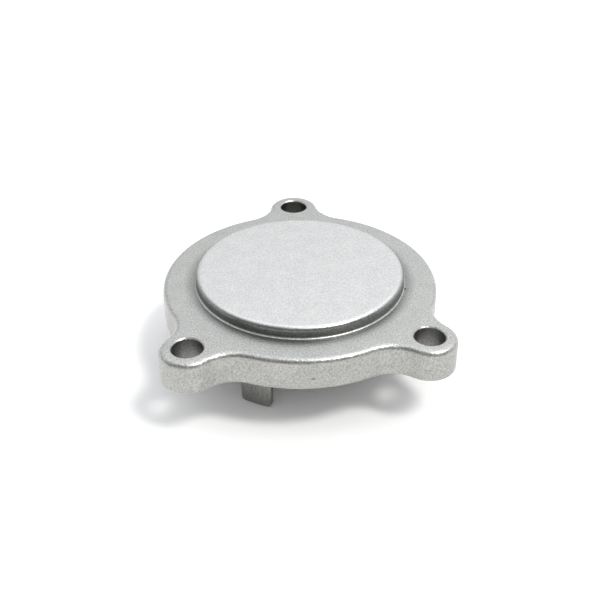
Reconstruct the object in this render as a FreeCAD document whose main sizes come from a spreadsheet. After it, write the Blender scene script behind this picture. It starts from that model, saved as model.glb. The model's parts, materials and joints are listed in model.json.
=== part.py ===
import FreeCAD, Part
import math
import os

import Sketcher

# Die-cast end cover: a round flange with three bolt ears, a raised disc on its outer face, and on its inner
# face a locating spigot around a cored recess, with fingers that reach down into the housing it closes.
# Origin: centre of the sealing face, on the cover's axis. +Z points out through the raised disc, +X runs
# along the front pair of bolt holes. Millimetres and degrees.

DRIVING_SIZES = [
    # flange and ears, from the spigot outwards
    ("spigot_diameter", 47.0),
    ("sealing_face_width", 7.5),
    ("flange_thickness", 7.2),
    ("bolt_circle_overhang", 4.0),
    ("ear_wall", 2.7),
    ("ear_blend_radius", 8.0),
    ("right_ear_angle", 315.4),
    ("back_ear_angle", 88.0),
    ("left_ear_angle", 224.6),
    ("wall_draft", 0.5),
    ("rim_fillet", 1.0),
    # bolt holes
    ("bolt_hole_diameter", 6.6),
    ("bolt_hole_chamfer", 0.25),
    # raised disc
    ("top_land_width", 7.5),
    ("disc_height", 2.6),
    ("disc_draft", 2.0),
    ("disc_edge_chamfer", 0.5),
    # spigot and cored recess
    ("spigot_height", 2.5),
    ("spigot_wall", 3.3),
    ("spigot_lead_in", 0.35),
    ("crown_thickness", 3.4),
    ("recess_draft", 3.0),
    ("recess_corner_chamfer", 1.0),
    # fingers
    ("finger_count", 3),
    ("finger_reach", 12.7),
    ("finger_width", 7.3),
    ("finger_shoulder", 0.45),
    ("finger_draft", 1.5),
    ("finger_corner_fillet", 0.9),
]

# the sizes that end in _fit stay small enough for the wall they are on, whichever size is changed
DERIVED_SIZES = [
    ("flange_radius", "=spigot_diameter / 2 + sealing_face_width"),
    ("bolt_circle_radius", "=flange_radius + bolt_circle_overhang"),
    ("ear_radius", "=bolt_hole_diameter / 2 + ear_wall"),
    ("rim_fillet_fit", "=min(rim_fillet; 0.45 * (ear_wall - bolt_hole_chamfer))"),
    ("disc_radius", "=flange_radius - top_land_width"),
    ("disc_top", "=flange_thickness + disc_height"),
    ("spigot_lead_in_fit", "=min(spigot_lead_in; 0.8 * finger_shoulder)"),
    ("recess_radius", "=spigot_diameter / 2 - spigot_wall"),
    ("recess_ceiling", "=disc_top - crown_thickness"),
    ("recess_depth", "=recess_ceiling + spigot_height"),
    ("finger_outer_radius", "=spigot_diameter / 2 - finger_shoulder"),
    ("finger_inner_radius", "=recess_radius + finger_shoulder"),
    ("finger_tip_width", "=finger_width - 2 * finger_reach * tan(finger_draft * 1 deg)"),
    ("finger_corner_fillet_fit", "=min(finger_corner_fillet; 0.4 * finger_tip_width)"),
]

EARS = ["right_ear", "back_ear", "left_ear"]

# two places closer than this are the same place
NEAR = 1e-4


def make_sizes_sheet(doc):
    """Put every driving size in the sheet as a plain number, then the sizes worked out from them."""
    sheet = doc.addObject("Spreadsheet::Sheet", "Sizes")
    for row, (alias, content) in enumerate(DRIVING_SIZES + DERIVED_SIZES, start=1):
        sheet.set("A%d" % row, alias)
        sheet.set("B%d" % row, str(content))
        sheet.setAlias("B%d" % row, alias)
    doc.recompute()
    return sheet


def origin_feature(body, role):
    """Find one of the body's own base planes or axes by its role."""
    for feature in body.Origin.OriginFeatures:
        if feature.Role == role:
            return feature
    raise ValueError("no origin feature " + role)


def make_sketch(body, name, height=None):
    """Attach a sketch to the plane of the sealing face, or at a height that the sheet gives."""
    sketch = body.newObject("Sketcher::SketchObject", name)
    sketch.AttachmentSupport = [(origin_feature(body, "XY_Plane"), "")]
    sketch.MapMode = "FlatFace"
    if height:
        sketch.setExpression("AttachmentOffset.Base.z", height)
    return sketch


def bind(sketch, constraint, name, expression):
    """Add a dimension to a sketch and tie its value to the sheet."""
    index = sketch.addConstraint(constraint)
    sketch.renameConstraint(index, name)
    sketch.setExpression("Constraints." + name, expression)


def point_at(radius, angle):
    """A point of the XY plane from its radius and its angle in radians."""
    return FreeCAD.Vector(radius * math.cos(angle), radius * math.sin(angle), 0)


def angle_of(vector):
    """The angle of a plane vector, in radians."""
    return math.atan2(vector.y, vector.x)


def add_arc(sketch, centre, radius, start, end):
    """Add a counter-clockwise arc to a sketch and return its number."""
    circle = Part.Circle(centre, FreeCAD.Vector(0, 0, 1), radius)
    while end < start:
        end += 2 * math.pi
    return sketch.addGeometry(Part.ArcOfCircle(circle, start, end))


def place_centre(sketch, number, name, centre, centre_sizes):
    """Tie the centre of an arc or circle to the sheet by its X and Y."""
    for axis, value, size in zip("XY", (centre.x, centre.y), centre_sizes):
        distance = Sketcher.Constraint("Distance" + axis, -1, 1, number, 3, value)
        bind(sketch, distance, name + "_" + axis.lower(), size)


def add_circle(sketch, name, radius, radius_size, centre=FreeCAD.Vector(), centre_sizes=None):
    """Add a circle with its radius tied to the sheet, centred on the origin unless sizes place its centre."""
    number = sketch.addGeometry(Part.Circle(centre, FreeCAD.Vector(0, 0, 1), radius))
    bind(sketch, Sketcher.Constraint("Radius", number, radius), name + "_radius", radius_size)
    if centre_sizes:
        place_centre(sketch, number, name, centre, centre_sizes)
    else:
        sketch.addConstraint(Sketcher.Constraint("Coincident", number, 3, -1, 1))


def polar_expressions(radius_size, angle_size):
    """The sheet expressions of a point's X and Y from its radius and its angle in degrees."""
    template = "Sizes.%s * %s(Sizes.%s * 1 deg)"
    return [template % (radius_size, function, angle_size) for function in ("cos", "sin")]


def draw_outline(sketch, sizes):
    """Draw the flange's outline: rim arcs, the round ears and the concave blends that join them."""
    rim = sizes.flange_radius
    ear = sizes.ear_radius
    blend = sizes.ear_blend_radius
    reach = sizes.bolt_circle_radius
    # half the angle at the axis between the two blends of one ear
    cosine = (reach ** 2 + (rim + blend) ** 2 - (ear + blend) ** 2) / (2 * reach * (rim + blend))
    spread = math.acos(cosine)
    ear_angles = [math.radians(getattr(sizes, name + "_angle")) for name in EARS]
    # each entry: arc number, the end where the outline enters it, the end where it leaves it
    chain = []
    for place, name in enumerate(EARS):
        middle = ear_angles[place]
        next_middle = ear_angles[(place + 1) % len(EARS)]
        ear_centre = point_at(reach, middle)
        blend_in = point_at(rim + blend, middle - spread)
        blend_out = point_at(rim + blend, middle + spread)
        towards_in = angle_of(blend_in - ear_centre)
        towards_out = angle_of(blend_out - ear_centre)
        # the first blend runs clockwise from the rim to the ear
        number = add_arc(sketch, blend_in, blend, towards_in + math.pi, middle - spread + math.pi)
        bind(sketch, Sketcher.Constraint("Radius", number, blend), name + "_blend_in", "Sizes.ear_blend_radius")
        chain.append((number, 2, 1))
        number = add_arc(sketch, ear_centre, ear, towards_in, towards_out)
        bind(sketch, Sketcher.Constraint("Radius", number, ear), name + "_radius", "Sizes.ear_radius")
        place_centre(sketch, number, name, ear_centre, polar_expressions("bolt_circle_radius", name + "_angle"))
        chain.append((number, 1, 2))
        number = add_arc(sketch, blend_out, blend, middle + spread + math.pi, towards_out + math.pi)
        bind(sketch, Sketcher.Constraint("Radius", number, blend), name + "_blend_out", "Sizes.ear_blend_radius")
        chain.append((number, 2, 1))
        number = add_arc(sketch, FreeCAD.Vector(), rim, middle + spread, next_middle - spread)
        sketch.addConstraint(Sketcher.Constraint("Coincident", number, 3, -1, 1))
        bind(sketch, Sketcher.Constraint("Radius", number, rim), name + "_rim", "Sizes.flange_radius")
        chain.append((number, 1, 2))
    for place, (number, _, leaves) in enumerate(chain):
        following, enters, _ = chain[(place + 1) % len(chain)]
        sketch.addConstraint(Sketcher.Constraint("Tangent", number, leaves, following, enters))


def make_pad(body, name, sketch, length_size, draft_size=None, downwards=False):
    """Pad a sketch to a length from the sheet, narrowing with its draft."""
    pad = body.newObject("PartDesign::Pad", name)
    pad.Profile = sketch
    pad.setExpression("Length", "Sizes." + length_size)
    if draft_size:
        pad.setExpression("TaperAngle", "-Sizes.%s * 1 deg" % draft_size)
    pad.Reversed = downwards
    body.Document.recompute()
    return pad


def make_pocket(body, name, sketch, length_size=None, draft_size=None):
    """Cut a sketch upwards, through everything or to a depth from the sheet, narrowing with its draft."""
    uncut = body.Shape.Volume
    pocket = body.newObject("PartDesign::Pocket", name)
    pocket.Profile = sketch
    pocket.Reversed = True
    if length_size:
        pocket.setExpression("Length", "Sizes." + length_size)
    else:
        pocket.Type = "ThroughAll"
    if draft_size:
        pocket.setExpression("TaperAngle", "-Sizes.%s * 1 deg" % draft_size)
    body.Document.recompute()
    if pocket.Shape.Volume >= uncut:
        raise RuntimeError(name + " cuts nothing")


def make_ring(body, name, feature):
    """Repeat a feature evenly round the cover's axis, as many times as there are fingers."""
    pattern = body.newObject("PartDesign::PolarPattern", name)
    pattern.Originals = [feature]
    pattern.Axis = (origin_feature(body, "Z_Axis"), [""])
    pattern.Angle = 360
    pattern.setExpression("Occurrences", "Sizes.finger_count")
    body.Tip = pattern
    body.Document.recompute()


def dress_edges(body, kind, name, size_name, wanted):
    """Fillet or chamfer the edges of the body so far that a test picks, by a size from the sheet."""
    base = body.Tip
    edges = ["Edge%d" % number for number, edge in enumerate(base.Shape.Edges, start=1) if wanted(edge)]
    if not edges:
        raise RuntimeError("no edge to dress for " + name)
    feature = body.newObject("PartDesign::" + kind, name)
    feature.Base = (base, edges)
    feature.setExpression("Radius" if kind == "Fillet" else "Size", "Sizes." + size_name)
    body.Document.recompute()


def lies_at(edge, height):
    """True for an edge that lies flat at a height."""
    return abs(edge.BoundBox.ZMin - height) < NEAR and abs(edge.BoundBox.ZMax - height) < NEAR


def from_axis(vertex):
    """How far a vertex is from the cover's axis."""
    return math.hypot(vertex.X, vertex.Y)


def runs_outwards(edge):
    """True for an edge whose ends are at different distances from the cover's axis."""
    return abs(from_axis(edge.Vertexes[0]) - from_axis(edge.Vertexes[-1])) > NEAR


def make_flange(body, sizes):
    """The flange with its three ears, drafted towards the outer face, where its rim is rounded."""
    outline = make_sketch(body, "FlangeOutline")
    draw_outline(outline, sizes)
    make_pad(body, "Flange", outline, "flange_thickness", "wall_draft")
    dress_edges(body, "Fillet", "RimFillet", "rim_fillet_fit",
                lambda edge: lies_at(edge, sizes.flange_thickness))


def make_bolt_holes(body, sizes):
    """One drilled hole through each ear, with its sharp edge broken on the outer face."""
    circles = make_sketch(body, "BoltHoleCircles")
    for name in EARS:
        centre = point_at(sizes.bolt_circle_radius, math.radians(getattr(sizes, name + "_angle")))
        add_circle(circles, name, sizes.bolt_hole_diameter / 2, "Sizes.bolt_hole_diameter / 2", centre,
                   polar_expressions("bolt_circle_radius", name + "_angle"))
    make_pocket(body, "BoltHoles", circles)
    dress_edges(body, "Chamfer", "BoltHoleChamfers", "bolt_hole_chamfer",
                lambda edge: edge.isClosed() and lies_at(edge, sizes.flange_thickness))


def make_disc(body, sizes):
    """The raised disc on the outer face, with its edge broken."""
    circle = make_sketch(body, "DiscCircle", "Sizes.flange_thickness")
    add_circle(circle, "disc", sizes.disc_radius, "Sizes.disc_radius")
    make_pad(body, "RaisedDisc", circle, "disc_height", "disc_draft")
    dress_edges(body, "Chamfer", "DiscEdge", "disc_edge_chamfer",
                lambda edge: lies_at(edge, sizes.disc_top))


def make_spigot(body, sizes):
    """The locating spigot on the inner face, with its lead-in, and the recess cored inside it."""
    circle = make_sketch(body, "SpigotCircle")
    add_circle(circle, "spigot", sizes.spigot_diameter / 2, "Sizes.spigot_diameter / 2")
    make_pad(body, "Spigot", circle, "spigot_height", downwards=True)
    dress_edges(body, "Chamfer", "SpigotLeadIn", "spigot_lead_in_fit",
                lambda edge: lies_at(edge, -sizes.spigot_height))
    mouth = make_sketch(body, "RecessMouth", "-Sizes.spigot_height")
    add_circle(mouth, "recess", sizes.recess_radius, "Sizes.recess_radius")
    make_pocket(body, "Recess", mouth, "recess_depth", "recess_draft")
    dress_edges(body, "Chamfer", "RecessCorner", "recess_corner_chamfer",
                lambda edge: lies_at(edge, sizes.recess_ceiling))


def draw_finger(sketch, sizes):
    """Draw a finger's section: two arcs round the cover's axis, closed by straight sides."""
    half = sizes.finger_width / 2
    outer = sizes.finger_outer_radius
    inner = sizes.finger_inner_radius
    outer_angle = math.asin(half / outer)
    inner_angle = math.asin(half / inner)
    add_arc(sketch, FreeCAD.Vector(), outer, -outer_angle, outer_angle)
    add_arc(sketch, FreeCAD.Vector(), inner, -inner_angle, inner_angle)
    sketch.addGeometry(Part.LineSegment(point_at(inner, inner_angle), point_at(outer, outer_angle)))
    sketch.addGeometry(Part.LineSegment(point_at(inner, -inner_angle), point_at(outer, -outer_angle)))
    for arc in (0, 1):
        sketch.addConstraint(Sketcher.Constraint("Coincident", arc, 3, -1, 1))
    for line, end in ((2, 2), (3, 1)):
        sketch.addConstraint(Sketcher.Constraint("Coincident", line, 1, 1, end))
        sketch.addConstraint(Sketcher.Constraint("Coincident", line, 2, 0, end))
        sketch.addConstraint(Sketcher.Constraint("Horizontal", line))
    sketch.addConstraint(Sketcher.Constraint("Symmetric", 0, 1, 0, 2, -1))
    bind(sketch, Sketcher.Constraint("Radius", 0, outer), "outer", "Sizes.finger_outer_radius")
    bind(sketch, Sketcher.Constraint("Radius", 1, inner), "inner", "Sizes.finger_inner_radius")
    bind(sketch, Sketcher.Constraint("DistanceY", 0, 1, 0, 2, 2 * half), "width", "Sizes.finger_width")


def make_fingers(body, sizes):
    """The fingers that reach down from the spigot, drafted to tips with rounded corners."""
    section = make_sketch(body, "FingerSection")
    draw_finger(section, sizes)
    finger = make_pad(body, "Finger", section, "finger_reach", "finger_draft", downwards=True)
    make_ring(body, "Fingers", finger)
    dress_edges(body, "Fillet", "FingerCorners", "finger_corner_fillet_fit",
                lambda edge: lies_at(edge, -sizes.finger_reach) and runs_outwards(edge))


def make_end_cover(doc, sizes):
    """The whole casting as one body."""
    body = doc.addObject("PartDesign::Body", "EndCover")
    body.Label = "end_cover_casting"
    make_flange(body, sizes)
    make_bolt_holes(body, sizes)
    make_disc(body, sizes)
    make_spigot(body, sizes)
    make_fingers(body, sizes)
    return body


def check_document(doc, body):
    """Stop if any object failed, or if the casting isn't one valid solid."""
    for item in doc.Objects:
        if "Invalid" in item.State or "Error" in item.State:
            raise RuntimeError("%s: %s" % (item.Name, item.State))
    if body.Shape.isNull() or not body.Shape.isValid() or len(body.Shape.Solids) != 1:
        raise RuntimeError(body.Label + " isn't one valid solid")


def main():
    doc = FreeCAD.newDocument("EndCover")
    sizes = make_sizes_sheet(doc)
    body = make_end_cover(doc, sizes)
    doc.recompute()
    check_document(doc, body)
    os.makedirs("parts", exist_ok=True)
    body.Shape.exportStep("parts/%s.step" % body.Label)
    print("%s: %.1f mm3" % (body.Label, body.Shape.Volume))


main()
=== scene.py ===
import json
import math

import bmesh
import bpy
from mathutils import Matrix, Vector


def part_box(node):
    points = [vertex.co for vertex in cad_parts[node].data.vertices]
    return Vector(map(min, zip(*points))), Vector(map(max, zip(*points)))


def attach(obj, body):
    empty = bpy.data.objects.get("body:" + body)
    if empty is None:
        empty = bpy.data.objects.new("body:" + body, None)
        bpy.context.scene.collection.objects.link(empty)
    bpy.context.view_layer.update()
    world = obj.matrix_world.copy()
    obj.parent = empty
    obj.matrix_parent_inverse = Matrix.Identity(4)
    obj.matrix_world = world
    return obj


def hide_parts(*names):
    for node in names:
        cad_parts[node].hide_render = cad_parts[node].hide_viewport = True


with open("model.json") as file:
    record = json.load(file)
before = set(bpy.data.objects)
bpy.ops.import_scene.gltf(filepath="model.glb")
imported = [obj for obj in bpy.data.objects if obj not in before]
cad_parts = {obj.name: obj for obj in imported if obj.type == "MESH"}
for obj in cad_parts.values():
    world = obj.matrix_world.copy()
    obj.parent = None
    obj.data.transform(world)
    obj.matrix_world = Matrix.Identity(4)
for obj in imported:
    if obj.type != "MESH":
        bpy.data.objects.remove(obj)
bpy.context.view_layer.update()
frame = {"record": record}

# a die-cast aluminium end cover, standing on its three fingers on a white table
# sizes are in metres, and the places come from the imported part's box and mounts
mm = 0.001
tiny = 1e-6   # two places closer than this, in metres, are the same place

record = frame["record"]
mounts = {mount["name"]: mount for mount in record["mounts"]}
boxLow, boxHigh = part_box("end_cover_casting")


# small helpers

def polar(radius, angle, height=0.0):
    return Vector((radius * math.cos(angle), radius * math.sin(angle), height))


def angleOf(vector):
    return math.atan2(vector.y, vector.x)


def turnTo(start, end):
    # how far to turn counter-clockwise from one angle to another
    return (end - start) % (2 * math.pi)


def objectFrom(bm, name):
    mesh = bpy.data.meshes.new(name)
    bm.to_mesh(mesh)
    bm.free()
    piece = bpy.data.objects.new(name, mesh)
    bpy.context.scene.collection.objects.link(piece)
    return piece


def raiseCap(bm, cap, radius, height):
    # extrude a round cap to a new height and radius
    before = cap.verts[0].co.copy()
    grown = bmesh.ops.extrude_face_region(bm, geom=[cap, *cap.edges])["geom"]
    verts = [item for item in grown if isinstance(item, bmesh.types.BMVert)]
    ratio = radius / math.hypot(before.x, before.y)
    bmesh.ops.scale(bm, vec=(ratio, ratio, 1), verts=verts)
    bmesh.ops.translate(bm, vec=(0, 0, height - before.z), verts=verts)
    return [item for item in grown if isinstance(item, bmesh.types.BMFace)][0]


def turnedSolid(profile, segments):
    # a closed round solid from (radius, height) pairs, one above the other
    bm = bmesh.new()
    radius, height = profile[0]
    bmesh.ops.create_circle(bm, cap_ends=True, segments=segments, radius=radius,
                            matrix=Matrix.Translation((0, 0, height)))
    bm.faces.ensure_lookup_table()
    cap = bm.faces[0]
    for radius, height in profile[1:]:
        cap = raiseCap(bm, cap, radius, height)
    bmesh.ops.recalc_face_normals(bm, faces=bm.faces[:])
    return bm


def roundEdges(bm, edges, width, segments):
    bmesh.ops.bevel(bm, geom=edges, offset=width, offset_type="OFFSET", segments=segments, profile=0.5,
                    affect="EDGES", clamp_overlap=True, material=-1)


def roundLevelEdges(bm, height, width, segments):
    # round the edges that lie flat at a height
    edges = [e for e in bm.edges if all(abs(v.co.z - height) < tiny for v in e.verts) and not e.is_wire]
    roundEdges(bm, edges, width, segments)


def combine(piece, tool, operation):
    # join or cut with another solid, and keep only the result
    cut = piece.modifiers.new("Combine", "BOOLEAN")
    cut.solver = "EXACT"
    cut.operation = operation
    cut.object = tool
    depsgraph = bpy.context.evaluated_depsgraph_get()
    result = bpy.data.meshes.new_from_object(piece.evaluated_get(depsgraph))
    piece.modifiers.clear()
    piece.data = result
    bpy.data.objects.remove(tool)


# flange with its bolt ears

flange = {
    "thickness": 7.2 * mm,
    "earBlend": 8.0 * mm,        # concave radius between the rim and an ear
    "draft": 0.5,                # degrees
    "rimRounding": 1.2 * mm,
    "partingEdge": 0.25 * mm,
    "rimStep": 2.0,              # degrees of arc for each edge
    "earStep": 5.0,
    "roundingSegments": 6,
    "partingSegments": 2,
}

rimRadius = boxHigh.x
backBolt = Vector(mounts["back_bolt"]["pos_m"])
frontBolts = Vector(mounts["front_bolts"]["pos_m"])
boltSpacing = mounts["front_bolts"]["dims"]["spacing_x_mm"] * mm
holeRadius = mounts["front_bolts"]["dims"]["hole_r_mm"] * mm
earRadius = boxHigh.y - backBolt.y
boltPlaces = [
    Vector((frontBolts.x + boltSpacing / 2, frontBolts.y, 0)),
    Vector((backBolt.x, backBolt.y, 0)),
    Vector((frontBolts.x - boltSpacing / 2, frontBolts.y, 0)),
]


def drawArc(bm, centre, start, turn, step):
    # spin one vertex round a centre, so that it leaves an arc behind
    vert = bm.verts.new(start)
    steps = max(2, round(abs(math.degrees(turn)) / step))
    bmesh.ops.spin(bm, geom=[vert], cent=centre, axis=(0, 0, 1), angle=turn, steps=steps, use_merge=False)


def drawOutline(bm):
    blend = flange["earBlend"]
    reach = backBolt.xy.length
    # the axis, an ear's centre and its blend's centre make a triangle whose three sides are known
    toBlend = rimRadius + blend
    cosine = (reach ** 2 + toBlend ** 2 - (earRadius + blend) ** 2) / (2 * reach * toBlend)
    spread = math.acos(cosine)
    for place, ear in enumerate(boltPlaces):
        middle = angleOf(ear)
        following = angleOf(boltPlaces[(place + 1) % len(boltPlaces)])
        blendIn = polar(toBlend, middle - spread)
        blendOut = polar(toBlend, middle + spread)
        towardsIn = angleOf(blendIn - ear)
        towardsOut = angleOf(blendOut - ear)
        blendTurn = turnTo(towardsIn, middle - spread)
        drawArc(bm, blendIn, polar(rimRadius, middle - spread), -blendTurn, flange["earStep"])
        drawArc(bm, ear, ear + polar(earRadius, towardsIn), turnTo(towardsIn, towardsOut), flange["earStep"])
        drawArc(bm, blendOut, ear + polar(earRadius, towardsOut), -blendTurn, flange["earStep"])
        drawArc(bm, Vector(), polar(rimRadius, middle + spread), turnTo(middle + spread, following - spread),
                flange["rimStep"])
    bmesh.ops.remove_doubles(bm, verts=bm.verts[:], dist=10 * tiny)


def makeFlange():
    bm = bmesh.new()
    drawOutline(bm)
    base = bmesh.ops.contextual_create(bm, geom=bm.edges[:])["faces"]
    grown = bmesh.ops.extrude_face_region(bm, geom=base)["geom"]
    top = [item for item in grown if isinstance(item, bmesh.types.BMVert)]
    bmesh.ops.translate(bm, vec=(0, 0, flange["thickness"]), verts=top)
    narrowing = 1 - flange["thickness"] * math.tan(math.radians(flange["draft"])) / rimRadius
    bmesh.ops.scale(bm, vec=(narrowing, narrowing, 1), verts=top)
    bmesh.ops.recalc_face_normals(bm, faces=bm.faces[:])
    roundLevelEdges(bm, flange["thickness"], flange["rimRounding"], flange["roundingSegments"])
    roundLevelEdges(bm, 0, flange["partingEdge"], flange["partingSegments"])
    return objectFrom(bm, "endCover")


cover = makeFlange()
print("flange made:", len(cover.data.polygons), "faces")


# raised disc

disc = {
    "radius": 23.5 * mm,
    "draft": 2.0,                # degrees
    "rootEase": 0.45 * mm,       # small flare where the disc meets the flange
    "edgeRounding": 1.05 * mm,
    "segments": 180,
    "roundingSegments": 6,
    "flareAngles": (20, 34, 48, 62, 76, 90),   # degrees from the flange's face to the disc's wall
    "sunk": 0.6 * mm,            # how far the disc's solid reaches into the flange
}


def makeDisc():
    top = boxHigh.z
    base = flange["thickness"]
    ease = disc["rootEase"]
    narrowing = (top - base) * math.tan(math.radians(disc["draft"]))
    flare = [(disc["radius"] + ease * (1 - math.sin(angle)), base + ease * (1 - math.cos(angle)))
             for angle in map(math.radians, disc["flareAngles"])]
    bm = turnedSolid([
        (disc["radius"] + ease, base - disc["sunk"]),
        (disc["radius"] + ease, base - ease / 10),
        *flare,
        (disc["radius"] - narrowing, top),
    ], disc["segments"])
    roundLevelEdges(bm, top, disc["edgeRounding"], disc["roundingSegments"])
    return objectFrom(bm, "disc")


combine(cover, makeDisc(), "UNION")
print("disc joined")


# spigot and cored recess

spigot = {
    "radius": mounts["spigot"]["dims"]["r_mm"] * mm,
    "height": 2.5 * mm,
    "leadIn": 0.35 * mm,
    "wall": 3.3 * mm,
    "crown": 3.4 * mm,           # metal left between the recess and the disc's top
    "recessDraft": 3.0,          # degrees
    "recessCorner": 1.6 * mm,
    "cornerSegments": 8,
    "sunk": 1.0 * mm,            # how far the spigot's solid reaches into the flange
    "clear": 1.0 * mm,           # how far below the mouth the recess's cutter starts
    "segments": 180,
}


def makeSpigot():
    foot = -spigot["height"]
    bm = turnedSolid([
        (spigot["radius"] - spigot["leadIn"], foot),
        (spigot["radius"], foot + spigot["leadIn"]),
        (spigot["radius"], spigot["sunk"]),
    ], spigot["segments"])
    return objectFrom(bm, "spigot")


def makeRecess():
    ceiling = boxHigh.z - spigot["crown"]
    mouth = -spigot["height"]
    slope = math.tan(math.radians(spigot["recessDraft"]))
    mouthRadius = spigot["radius"] - spigot["wall"]
    below = spigot["clear"]
    bm = turnedSolid([
        (mouthRadius + below * slope, mouth - below),
        (mouthRadius - (ceiling - mouth) * slope, ceiling),
    ], spigot["segments"])
    roundLevelEdges(bm, ceiling, spigot["recessCorner"], spigot["cornerSegments"])
    return objectFrom(bm, "recess")


combine(cover, makeSpigot(), "UNION")
combine(cover, makeRecess(), "DIFFERENCE")
print("spigot joined and recess cut")


# fingers

finger = {
    "count": 3,
    "width": 7.5 * mm,
    "shoulder": 0.45 * mm,       # step from the spigot's wall to the finger
    "draft": 1.5,                # degrees
    "cornerRounding": 0.6 * mm,
    "cornerSegments": 6,
    "edgeRounding": 0.15 * mm,
    "edgeSegments": 3,
    "sharpAngle": 60.0,          # edges sharper than this are eased
    "sunk": 1.0 * mm,            # depth of the root, inside the spigot's wall
    "cuts": 10,                  # strips across, so that the block can bend
}


def makeFinger(angle):
    outer = spigot["radius"] - finger["shoulder"]
    inner = spigot["radius"] - spigot["wall"] + finger["shoulder"]
    tip = boxLow.z
    root = -finger["sunk"]
    half = finger["width"] / 2
    bm = bmesh.new()
    bmesh.ops.create_cube(bm, size=1.0)
    bmesh.ops.scale(bm, vec=(outer - inner, finger["width"], root - tip), verts=bm.verts[:])
    bmesh.ops.translate(bm, vec=((outer + inner) / 2, 0, (root + tip) / 2), verts=bm.verts[:])
    # draft: the tip is narrower both ways, about the finger's middle
    narrowing = (root - tip) * math.tan(math.radians(finger["draft"]))
    tipVerts = [v for v in bm.verts if v.co.z < tip + tiny]
    about = Matrix.Translation((-(outer + inner) / 2, 0, 0))
    tipShare = (1 - 2 * narrowing / (outer - inner), 1 - narrowing / half, 1)
    bmesh.ops.scale(bm, vec=tipShare, verts=tipVerts, space=about)
    corners = [e for e in bm.edges if all(v.co.z < tip + tiny for v in e.verts)
               and abs(e.verts[0].co.y - e.verts[1].co.y) < tiny]
    roundEdges(bm, corners, finger["cornerRounding"], finger["cornerSegments"])
    # ease the edges of the two curved faces, away from the root
    sharp = math.radians(finger["sharpAngle"])
    faceEdges = [e for e in bm.edges if e.is_manifold and e.calc_face_angle() > sharp
                 and not all(v.co.z > root - tiny for v in e.verts)]
    roundEdges(bm, faceEdges, finger["edgeRounding"], finger["edgeSegments"])
    for number in range(1, finger["cuts"]):
        across = -half + finger["width"] * number / finger["cuts"]
        bmesh.ops.bisect_plane(bm, geom=bm.verts[:] + bm.edges[:] + bm.faces[:], dist=tiny / 10,
                               plane_co=(0, across, 0), plane_no=(0, 1, 0))
    # bend the block round the cover's axis
    middle = (outer + inner) / 2
    for vert in bm.verts:
        vert.co = polar(vert.co.x, vert.co.y / middle, vert.co.z)
    bmesh.ops.rotate(bm, cent=(0, 0, 0), matrix=Matrix.Rotation(angle, 3, "Z"), verts=bm.verts[:])
    bmesh.ops.recalc_face_normals(bm, faces=bm.faces[:])
    return objectFrom(bm, "finger")


for number in range(finger["count"]):
    combine(cover, makeFinger(2 * math.pi * number / finger["count"]), "UNION")
print("fingers joined")


# bolt holes

boltHole = {
    "chamfer": 0.25 * mm,
    "segments": 48,
    "beyond": 1.0 * mm,          # how far the cutter runs past both faces
    "borePaintedShade": 0.55,           # painted shade: the bore's wall is darker than the faces
}


def makeHoleCutter(place):
    top = flange["thickness"]
    edge = boltHole["chamfer"]
    beyond = boltHole["beyond"]
    bm = turnedSolid([
        (holeRadius + edge + beyond, -beyond),
        (holeRadius, edge),
        (holeRadius, top - edge),
        (holeRadius + edge + beyond, top + beyond),
    ], boltHole["segments"])
    bmesh.ops.translate(bm, vec=place, verts=bm.verts[:])
    return objectFrom(bm, "holeCutter")


for place in boltPlaces:
    combine(cover, makeHoleCutter(place), "DIFFERENCE")
print("bolt holes cut")


# casting flaws

# each flaw: how far from the axis, its angle, its height, its size along, across and up, and what it does
flaws = {
    "sidePore": {"radius": 31.05, "angle": 270.2, "height": 2.6, "size": (0.34, 0.38, 0.30), "cut": True},
    "discNick": {"radius": 23.75, "angle": 343.9, "height": 7.25, "size": (0.50, 0.45, 0.35), "cut": True},
    "rimBump": {"radius": 32.35, "angle": 75.7, "height": 6.3, "size": (0.65, 0.75, 0.6), "cut": False},
}


def makeFlaw(flaw):
    bm = bmesh.new()
    bmesh.ops.create_icosphere(bm, subdivisions=3, radius=mm)
    bmesh.ops.scale(bm, vec=flaw["size"], verts=bm.verts[:])
    angle = math.radians(flaw["angle"])
    bmesh.ops.rotate(bm, cent=(0, 0, 0), matrix=Matrix.Rotation(angle, 3, "Z"), verts=bm.verts[:])
    bmesh.ops.translate(bm, vec=polar(flaw["radius"] * mm, angle, flaw["height"] * mm), verts=bm.verts[:])
    return objectFrom(bm, "flaw")


for name, flaw in flaws.items():
    combine(cover, makeFlaw(flaw), "DIFFERENCE" if flaw["cut"] else "UNION")
print("flaws made:", ", ".join(flaws))


# clean mesh and shading

shading = {"sharpAngle": 40.0}   # degrees


def finishMesh(piece):
    bm = bmesh.new()
    bm.from_mesh(piece.data)
    bmesh.ops.remove_doubles(bm, verts=bm.verts[:], dist=tiny)
    bmesh.ops.dissolve_degenerate(bm, edges=bm.edges[:], dist=tiny)
    bmesh.ops.triangulate(bm, faces=bm.faces[:], quad_method="BEAUTY", ngon_method="BEAUTY")
    bmesh.ops.recalc_face_normals(bm, faces=bm.faces[:])
    for face in bm.faces:
        face.smooth = True
    openEdges = sum(1 for e in bm.edges if not e.is_manifold)
    bm.to_mesh(piece.data)
    bm.free()
    piece.data.set_sharp_from_angle(angle=math.radians(shading["sharpAngle"]))
    weighted = piece.modifiers.new("Weighted normals", "WEIGHTED_NORMAL")
    weighted.mode = "FACE_AREA_WITH_ANGLE"
    weighted.keep_sharp = True
    print("cover mesh:", len(piece.data.polygons), "triangles,", openEdges, "open edges")


finishMesh(cover)


# finish: satin blasted cast aluminium, with painted shade

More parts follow.
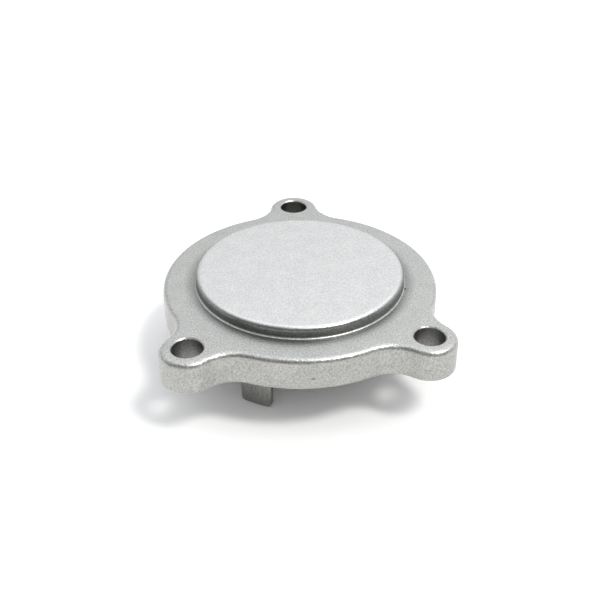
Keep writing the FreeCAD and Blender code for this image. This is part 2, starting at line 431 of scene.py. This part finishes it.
castFinish = {
    # the walls' tone is darkened as painted shade, and the flange's face partly so
    "wallTone": (0.402, 0.399, 0.381),
    "flangeTone": (0.55, 0.558, 0.54),
    "discTone": (0.75, 0.755, 0.75),
    "cloudSpread": 0.05,         # share by which the tone wanders
    "speckleSpread": 0.26,       # share by which single grains differ
    "discSpeckle": 0.60,         # how much of that shows on the disc
    "wallRoughness": 0.36,
    "flangeRoughness": 0.33,
    "discRoughness": 0.32,
    "cloudSize": 3.5,            # millimetres
    "grainSize": 0.36,
    "grainDepth": 0.075,
    "innerShade": 0.80,          # painted shade on the inner side, under the cover
    "cornerShade": 0.60,         # painted shade on the flange close to the disc
    "cornerWidth": 3.2,
    "rootShade": 1.0,            # no painted shade on the flare at the disc's foot
    "discWallShade": 0.45,       # darkest painted shade, on the disc's wall
    "swellSize": 5.0,
    "swellDepth": 0.03,
    "cloudDetail": 5,
    "speckleDetail": 2,
    "grainDetail": 3,
    "swellDetail": 2,
    "noiseRange": (0.3, 0.7),    # most of a noise's values lie between these
    "flangeBand": (0.9, 0.1),    # depths below the flange's face where its tone starts and is full
    "discBand": (0.5, 0.08),     # and below the disc's face
    "innerBand": 0.5,            # depth below the sealing face where the painted shade on the inner side is full
    "flareBand": (0.02, 0.06),   # heights above the flange's face
    "discWallBand": (0.4, 0.8),  # shares of the flare's height
}


def newNode(tree, kind, **settings):
    node = tree.nodes.new(kind)
    for name, value in settings.items():
        setattr(node, name, value)
    return node


def noiseAt(tree, coordinates, size, detail):
    # noise whose lumps are about a size in millimetres
    noise = newNode(tree, "ShaderNodeTexNoise")
    noise.inputs["Scale"].default_value = 1 / (size * mm)
    noise.inputs["Detail"].default_value = detail
    tree.links.new(coordinates, noise.inputs["Vector"])
    return noise.outputs["Fac"]


def ramp(tree, source, fromLow, fromHigh, toLow, toHigh, interpolation="LINEAR"):
    node = newNode(tree, "ShaderNodeMapRange", interpolation_type=interpolation)
    for name, value in (("From Min", fromLow), ("From Max", fromHigh), ("To Min", toLow), ("To Max", toHigh)):
        node.inputs[name].default_value = value
    tree.links.new(source, node.inputs["Value"])
    return node.outputs["Result"]


def blendOf(tree, kind, factor, first, second):
    # mix two colours or two numbers, each given as a value or as another node's output
    node = newNode(tree, "ShaderNodeMix", data_type=kind)
    sockets = [item for item in node.inputs if item.enabled]
    tree.links.new(factor, sockets[0])
    for socket, value in zip(sockets[1:], (first, second)):
        if isinstance(value, bpy.types.NodeSocket):
            tree.links.new(value, socket)
        else:
            socket.default_value = value
    return [item for item in node.outputs if item.enabled][0]


def grey(level):
    return (level, level, level, 1)


def makeCastAluminium(name, shade=1.0):
    # shade below 1 gives a darker copy, painted shade for the bore's wall
    material = bpy.data.materials.new(name)
    material.use_nodes = True
    tree = material.node_tree
    shader = tree.nodes["Principled BSDF"]
    shader.inputs["Metallic"].default_value = 1.0
    coordinates = newNode(tree, "ShaderNodeTexCoord").outputs["Object"]
    height = newNode(tree, "ShaderNodeSeparateXYZ")
    tree.links.new(coordinates, height.inputs["Vector"])
    up = height.outputs["Z"]
    foot = flange["thickness"]
    # the top faces are finer than the walls; the walls are darker by painted shade, the flange's face partly
    # so, and the disc's top is the lightest
    onTop = ramp(tree, up, *(foot - depth * mm for depth in castFinish["flangeBand"]), 0, 1)
    onDisc = ramp(tree, up, *(boxHigh.z - depth * mm for depth in castFinish["discBand"]), 0, 1)
    wall, top, discTop = [(*(level * shade for level in castFinish[tone]), 1)
                          for tone in ("wallTone", "flangeTone", "discTone")]
    tone = blendOf(tree, "RGBA", onDisc, blendOf(tree, "RGBA", onTop, wall, top), discTop)
    rough = blendOf(tree, "FLOAT", onDisc, blendOf(tree, "FLOAT", onTop, castFinish["wallRoughness"],
                    castFinish["flangeRoughness"]), castFinish["discRoughness"])
    tree.links.new(rough, shader.inputs["Roughness"])
    # painted shade: on the inner side, on the flange near the disc and on the disc's wall, none on the flare
    plan = newNode(tree, "ShaderNodeVectorMath", operation="MULTIPLY")
    plan.inputs[1].default_value = (1, 1, 0)
    tree.links.new(coordinates, plan.inputs[0])
    fromAxis = newNode(tree, "ShaderNodeVectorMath", operation="LENGTH")
    tree.links.new(plan.outputs["Vector"], fromAxis.inputs[0])
    corner = ramp(tree, fromAxis.outputs["Value"], disc["radius"] + disc["rootEase"],
                  disc["radius"] + castFinish["cornerWidth"] * mm, castFinish["cornerShade"], 1, "SMOOTHSTEP")
    inner = ramp(tree, up, -castFinish["innerBand"] * mm, 0, castFinish["innerShade"], 1)
    onFlare = ramp(tree, up, *(foot + rise * mm for rise in castFinish["flareBand"]), 0, 1)
    onWall = ramp(tree, up, *(foot + disc["rootEase"] * share for share in castFinish["discWallBand"]), 0, 1)
    paintedShade = blendOf(tree, "FLOAT", onTop, inner, corner)
    paintedShade = blendOf(tree, "FLOAT", onFlare, paintedShade, castFinish["rootShade"])
    paintedShade = blendOf(tree, "FLOAT", onWall, paintedShade, castFinish["discWallShade"])
    paintedShade = blendOf(tree, "FLOAT", onDisc, paintedShade, 1.0)
    shaded = newNode(tree, "ShaderNodeVectorMath", operation="SCALE")
    tree.links.new(tone, shaded.inputs["Vector"])
    tree.links.new(paintedShade, shaded.inputs["Scale"])
    tone = shaded.outputs["Vector"]
    # slow clouds and single grains of tone
    for layer in (("cloudSize", "cloudDetail", "cloudSpread"), ("grainSize", "speckleDetail", "speckleSpread")):
        size, detail, spread = (castFinish[key] for key in layer)
        scaled = newNode(tree, "ShaderNodeVectorMath", operation="SCALE")
        tree.links.new(tone, scaled.inputs["Vector"])
        noise = noiseAt(tree, coordinates, size, detail)
        wander = ramp(tree, noise, *castFinish["noiseRange"], 1 - spread, 1 + spread)
        calmed = ramp(tree, onDisc, 0, 1, 0, 1 - castFinish["discSpeckle"])
        tree.links.new(blendOf(tree, "FLOAT", calmed, wander, 1.0), scaled.inputs["Scale"])
        tone = scaled.outputs["Vector"]
    tree.links.new(tone, shader.inputs["Base Color"])
    # the grain of the blasting over the slow swell of the cast skin
    swell = newNode(tree, "ShaderNodeBump")
    swell.inputs["Distance"].default_value = castFinish["swellDepth"] * mm
    tree.links.new(noiseAt(tree, coordinates, castFinish["swellSize"], castFinish["swellDetail"]),
                   swell.inputs["Height"])
    grain = newNode(tree, "ShaderNodeBump")
    grain.inputs["Distance"].default_value = castFinish["grainDepth"] * mm
    tree.links.new(noiseAt(tree, coordinates, castFinish["grainSize"], castFinish["grainDetail"]),
                   grain.inputs["Height"])
    tree.links.new(swell.outputs["Normal"], grain.inputs["Normal"])
    tree.links.new(grain.outputs["Normal"], shader.inputs["Normal"])
    return material


cover.data.materials.clear()
cover.data.materials.append(makeCastAluminium("castAluminium"))
# the bore's wall gets the darker copy, as painted shade
cover.data.materials.append(makeCastAluminium("boreShadedCopy", boltHole["borePaintedShade"]))
for polygon in cover.data.polygons:
    inBore = any((polygon.center.xy - place.xy).length < holeRadius + tiny for place in boltPlaces)
    polygon.material_index = 1 if inBore else 0
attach(cover, "root")
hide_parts("end_cover_casting")
print("finish applied")


# table

table = {
    "radius": 1.6,               # metres
    "segments": 96,
    "tone": 0.78,                # what lights the object by bounce
    "shownTone": 1.05,           # what the camera and the metal see
}


def makeTable():
    bm = bmesh.new()
    bmesh.ops.create_circle(bm, cap_ends=True, segments=table["segments"], radius=table["radius"],
                            matrix=Matrix.Translation((0, 0, boxLow.z)))
    top = objectFrom(bm, "table")
    material = bpy.data.materials.new("whiteTable")
    material.use_nodes = True
    tree = material.node_tree
    tree.nodes.clear()
    rays = newNode(tree, "ShaderNodeLightPath")
    seen = newNode(tree, "ShaderNodeMath", operation="MAXIMUM")
    tree.links.new(rays.outputs["Is Camera Ray"], seen.inputs[0])
    tree.links.new(rays.outputs["Is Glossy Ray"], seen.inputs[1])
    tone = blendOf(tree, "RGBA", seen.outputs["Value"], grey(table["tone"]), grey(table["shownTone"]))
    matt = newNode(tree, "ShaderNodeBsdfDiffuse")
    tree.links.new(tone, matt.inputs["Color"])
    output = newNode(tree, "ShaderNodeOutputMaterial")
    # seen from underneath, the table is clear
    sides = newNode(tree, "ShaderNodeNewGeometry")
    surface = newNode(tree, "ShaderNodeMixShader")
    tree.links.new(sides.outputs["Backfacing"], surface.inputs[0])
    tree.links.new(matt.outputs["BSDF"], surface.inputs[1])
    tree.links.new(newNode(tree, "ShaderNodeBsdfTransparent").outputs["BSDF"], surface.inputs[2])
    tree.links.new(surface.outputs["Shader"], output.inputs["Surface"])
    top.data.materials.append(material)
    return top


makeTable()
print("table made")


# light

studio = {
    "turn": -4.69,               # degrees the camera and the light are turned from the part's own front
    "backLow": 0.78,             # soft wall of light behind, near the table
    "backHigh": 1.25,            # and overhead
    "frontMirrored": 0.34,       # the dim room in front, as the metal mirrors it
    "frontLow": 0.10,            # and as it lights the table, from low down
    "frontHigh": 0.95,           # and from higher up
    "leftShade": 0.87,           # the room is a little dimmer on the left
    "rightShade": 1.13,          # and brighter on the right
    "roomColour": (0.985, 0.995, 1.01),
    "overheadBand": (0.84, 0.98),  # heights on the sky: 0 level with the table, 1 overhead
    "behindBand": (0.35, 0.80),
    "frontBand": (0.32, 0.60),
    "turnBand": (-0.35, 0.15),     # from in front to behind
    "acrossBand": (-0.45, 0.45),   # from left to right
    "lampColour": (1.0, 0.985, 0.955),
    "lampDirection": (0.26, -0.175, 0.526),
    "lampStrength": 1.28,
    "lampWidth": 13.0,           # degrees
}


def makeSurroundings():
    world = bpy.data.worlds.new("studio")
    world.use_nodes = True
    tree = world.node_tree
    shown = tree.nodes["Background"]
    coordinates = newNode(tree, "ShaderNodeTexCoord")
    turned = newNode(tree, "ShaderNodeVectorRotate", rotation_type="Z_AXIS")
    turned.inputs["Angle"].default_value = -math.radians(studio["turn"])
    tree.links.new(coordinates.outputs["Generated"], turned.inputs["Vector"])
    parts = newNode(tree, "ShaderNodeSeparateXYZ")
    tree.links.new(turned.outputs["Vector"], parts.inputs["Vector"])

    across, along, up = parts.outputs
    rays = newNode(tree, "ShaderNodeLightPath")
    behind = ramp(tree, up, *studio["behindBand"], studio["backLow"], studio["backHigh"], "SMOOTHSTEP")
    # the metal mirrors a dim room in front, and the table gets the light of its walls
    roomLight = ramp(tree, up, *studio["frontBand"], studio["frontLow"], studio["frontHigh"], "SMOOTHSTEP")
    room = blendOf(tree, "FLOAT", rays.outputs["Is Diffuse Ray"], studio["frontMirrored"], roomLight)
    overhead = ramp(tree, up, *studio["overheadBand"], 0, 1, "SMOOTHSTEP")
    inFront = blendOf(tree, "FLOAT", overhead, room, studio["backHigh"])
    side = ramp(tree, along, *studio["turnBand"], 0, 1, "SMOOTHSTEP")
    light = newNode(tree, "ShaderNodeMath", operation="MULTIPLY")
    tree.links.new(blendOf(tree, "FLOAT", side, inFront, behind), light.inputs[0])
    evenness = ramp(tree, across, *studio["acrossBand"], studio["leftShade"], studio["rightShade"])
    tree.links.new(evenness, light.inputs[1])
    # the camera sees plain white past the table
    strength = blendOf(tree, "FLOAT", rays.outputs["Is Camera Ray"], light.outputs["Value"], 1.0)
    colour = blendOf(tree, "RGBA", rays.outputs["Is Camera Ray"], (*studio["roomColour"], 1), (1, 1, 1, 1))
    tree.links.new(colour, shown.inputs["Color"])
    tree.links.new(strength, shown.inputs["Strength"])
    bpy.context.scene.world = world


def makeLamp():
    lamp = bpy.data.lights.new("lamp", "SUN")
    lamp.energy = studio["lampStrength"]
    lamp.color = studio["lampColour"]
    lamp.angle = math.radians(studio["lampWidth"])
    holder = bpy.data.objects.new("lamp", lamp)
    towards = Matrix.Rotation(math.radians(studio["turn"]), 3, "Z") @ Vector(studio["lampDirection"])
    holder.rotation_euler = towards.to_track_quat("Z", "Y").to_euler()
    holder.location = towards
    bpy.context.scene.collection.objects.link(holder)


makeSurroundings()
makeLamp()
print("light made")


# camera

view = {
    "target": (-0.717, -9.042, 7.2),   # millimetres
    "distance": 192.0,
    "elevation": 33.66,                # degrees
    "lens": 52.59,
    "sensor": 36,
    "nearest": 0.01,                   # metres
}


def makeCamera():
    camera = bpy.data.objects.new("camera", bpy.data.cameras.new("camera"))
    camera.data.lens = view["lens"]
    camera.data.sensor_width = view["sensor"]
    camera.data.clip_start = view["nearest"]
    tilt = Matrix.Rotation(math.radians(90 - view["elevation"]), 4, "X")
    turn = Matrix.Rotation(math.radians(studio["turn"]), 4, "Z")
    back = Matrix.Translation((0, 0, view["distance"] * mm))
    camera.matrix_world = Matrix.Translation(Vector(view["target"]) * mm) @ turn @ tilt @ back
    bpy.context.scene.collection.objects.link(camera)
    bpy.context.scene.camera = camera


makeCamera()
bpy.context.scene.view_settings.view_transform = "Standard"
print("camera placed")
